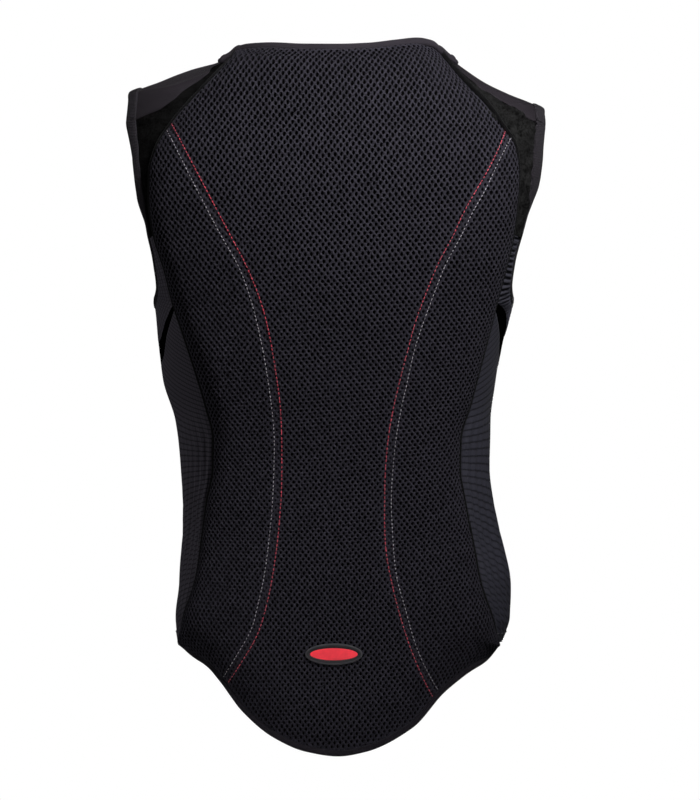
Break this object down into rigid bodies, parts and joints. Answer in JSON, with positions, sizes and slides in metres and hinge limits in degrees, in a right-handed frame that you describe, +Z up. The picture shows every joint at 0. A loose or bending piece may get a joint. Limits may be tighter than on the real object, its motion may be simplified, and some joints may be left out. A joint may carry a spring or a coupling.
{
  "type": "back protector vest",
  "caption": "Sleeveless back protector vest in its worn shape: padded mesh back board with a rounded tail, stretch side panels, bound armholes and a front zip.",
  "frame": {"origin": "on the wearer's shoulder line, midway between the shoulders, where the vest hangs", "axes": "+Z up, +Y the way the wearer faces, +X to the wearer's right"},
  "size_m": [0.3959, 0.246, 0.6825],
  "materials": {
    "spacer_mesh": "charcoal spacer mesh over a foam board",
    "stretch_black": "matt black stretch fabric",
    "ribbed_knit": "fine ribbed stretch knit, charcoal",
    "smooth_cloth": "smooth charcoal stretch cloth",
    "binding": "folded edge binding, charcoal",
    "zip": "black woven tape and moulded teeth",
    "badge_rubber": "moulded rubber, red face in a dark rim"
  },
  "bodies": {
    "root": {"back_board": "spacer_mesh", "badge": "badge_rubber", "zip": "zip", "shoulder_left": "smooth_cloth", "shoulder_right": "smooth_cloth", "yoke_left": "stretch_black", "yoke_right": "stretch_black", "underarm_band_left": "ribbed_knit", "underarm_band_right": "ribbed_knit", "gusset_left": "stretch_black", "gusset_right": "stretch_black", "side_panel_left": "ribbed_knit", "side_panel_right": "ribbed_knit", "front_left": "smooth_cloth", "front_right": "smooth_cloth", "armhole_binding_left": "binding", "armhole_binding_right": "binding", "neck_binding_left": "binding", "neck_binding_right": "binding", "neck_binding_back": "binding", "tail_binding": "binding"}
  },
  "joints": []
}
